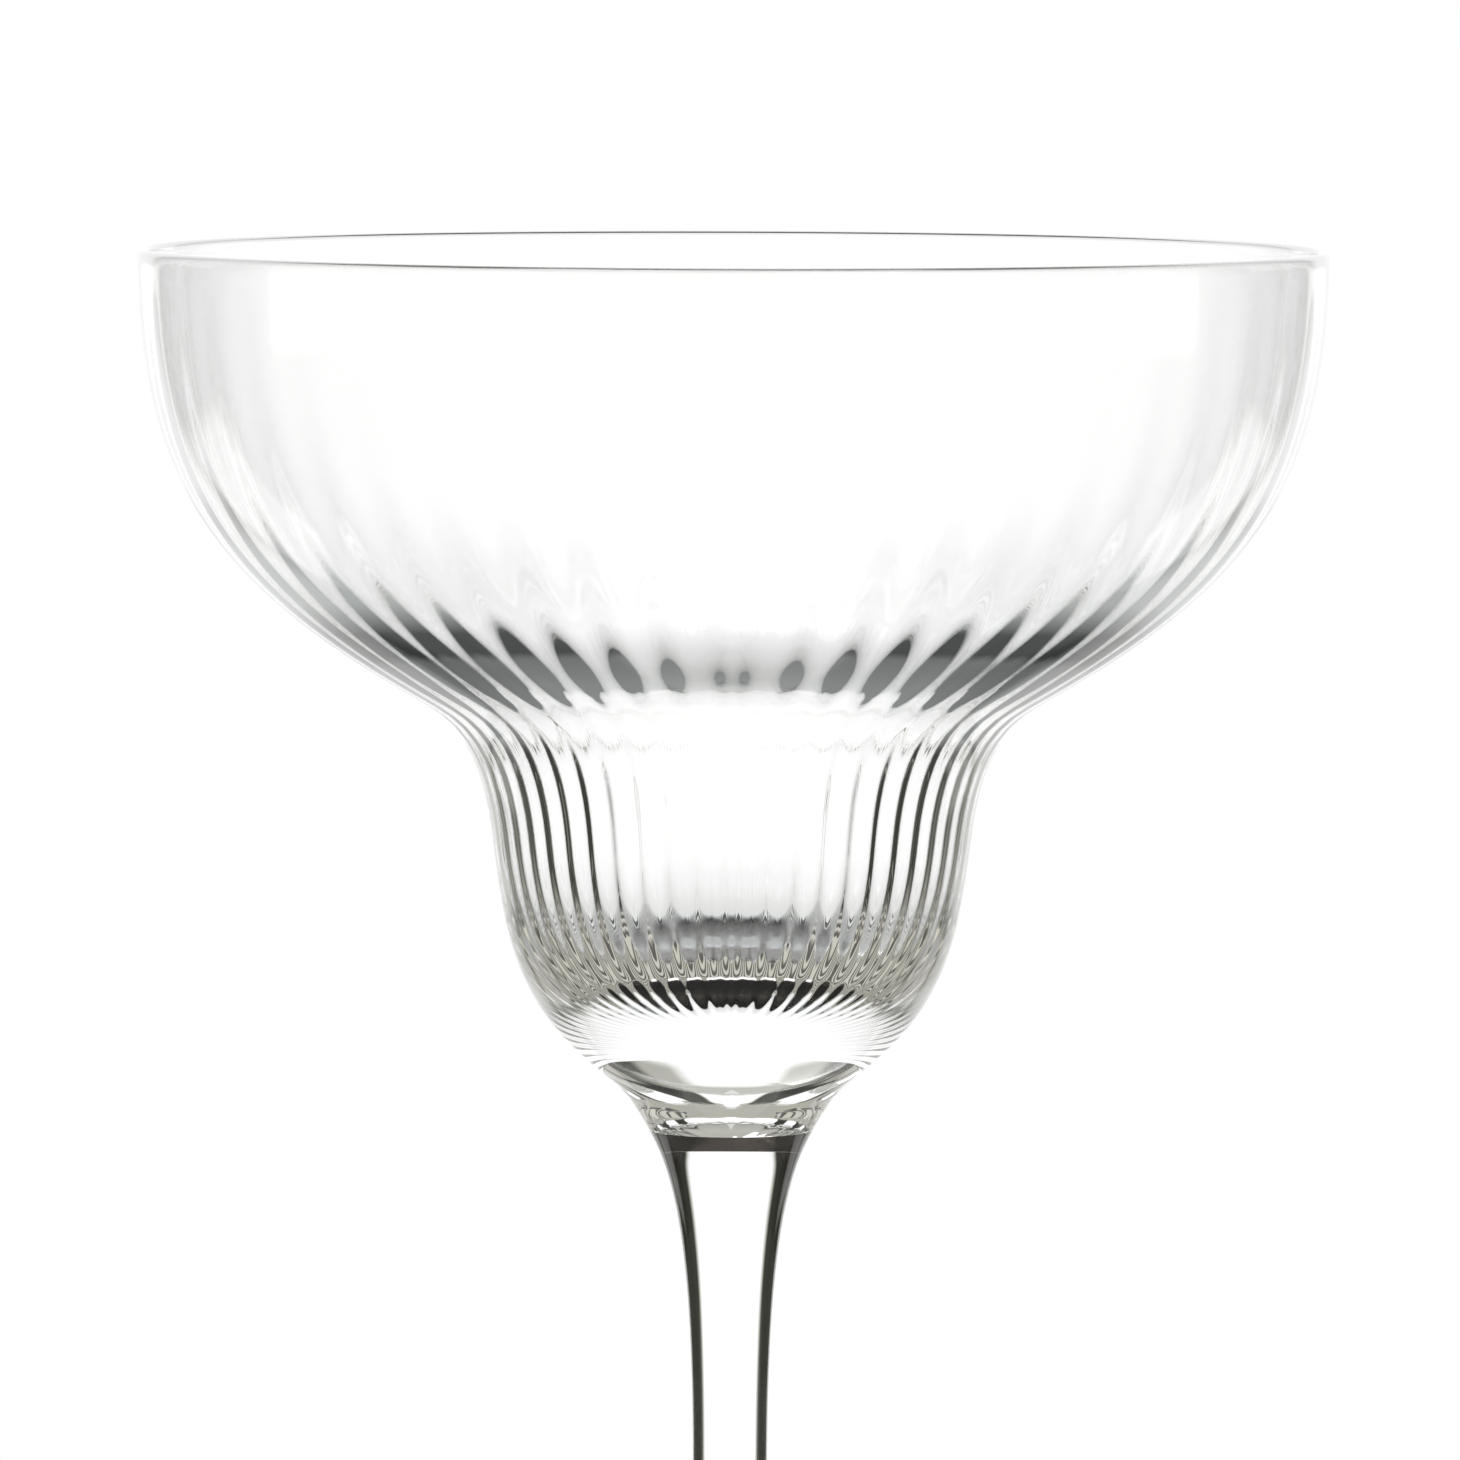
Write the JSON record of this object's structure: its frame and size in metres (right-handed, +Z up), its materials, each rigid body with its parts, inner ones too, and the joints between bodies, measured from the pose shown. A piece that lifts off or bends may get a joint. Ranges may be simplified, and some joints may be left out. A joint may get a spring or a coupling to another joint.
{
  "type": "margarita glass",
  "caption": "Clear stemmed cocktail glass with a wide rib-lined cup stepping down to a small deep well, on a slim solid stem and a round foot.",
  "frame": {"origin": "middle of the foot's underside, on the table", "axes": "+Z up along the glass's axis of turning; X and Y level, with no front or back, because the glass is round"},
  "size_m": [0.115, 0.115, 0.175],
  "materials": {
    "bowl_glass": "fire-polished clear glass with soft ribs inside",
    "stem_glass": "smooth clear glass",
    "foot_glass": "smooth clear glass"
  },
  "bodies": {
    "root": {"bowl": "bowl_glass", "stem": "stem_glass", "foot": "foot_glass"}
  },
  "joints": []
}
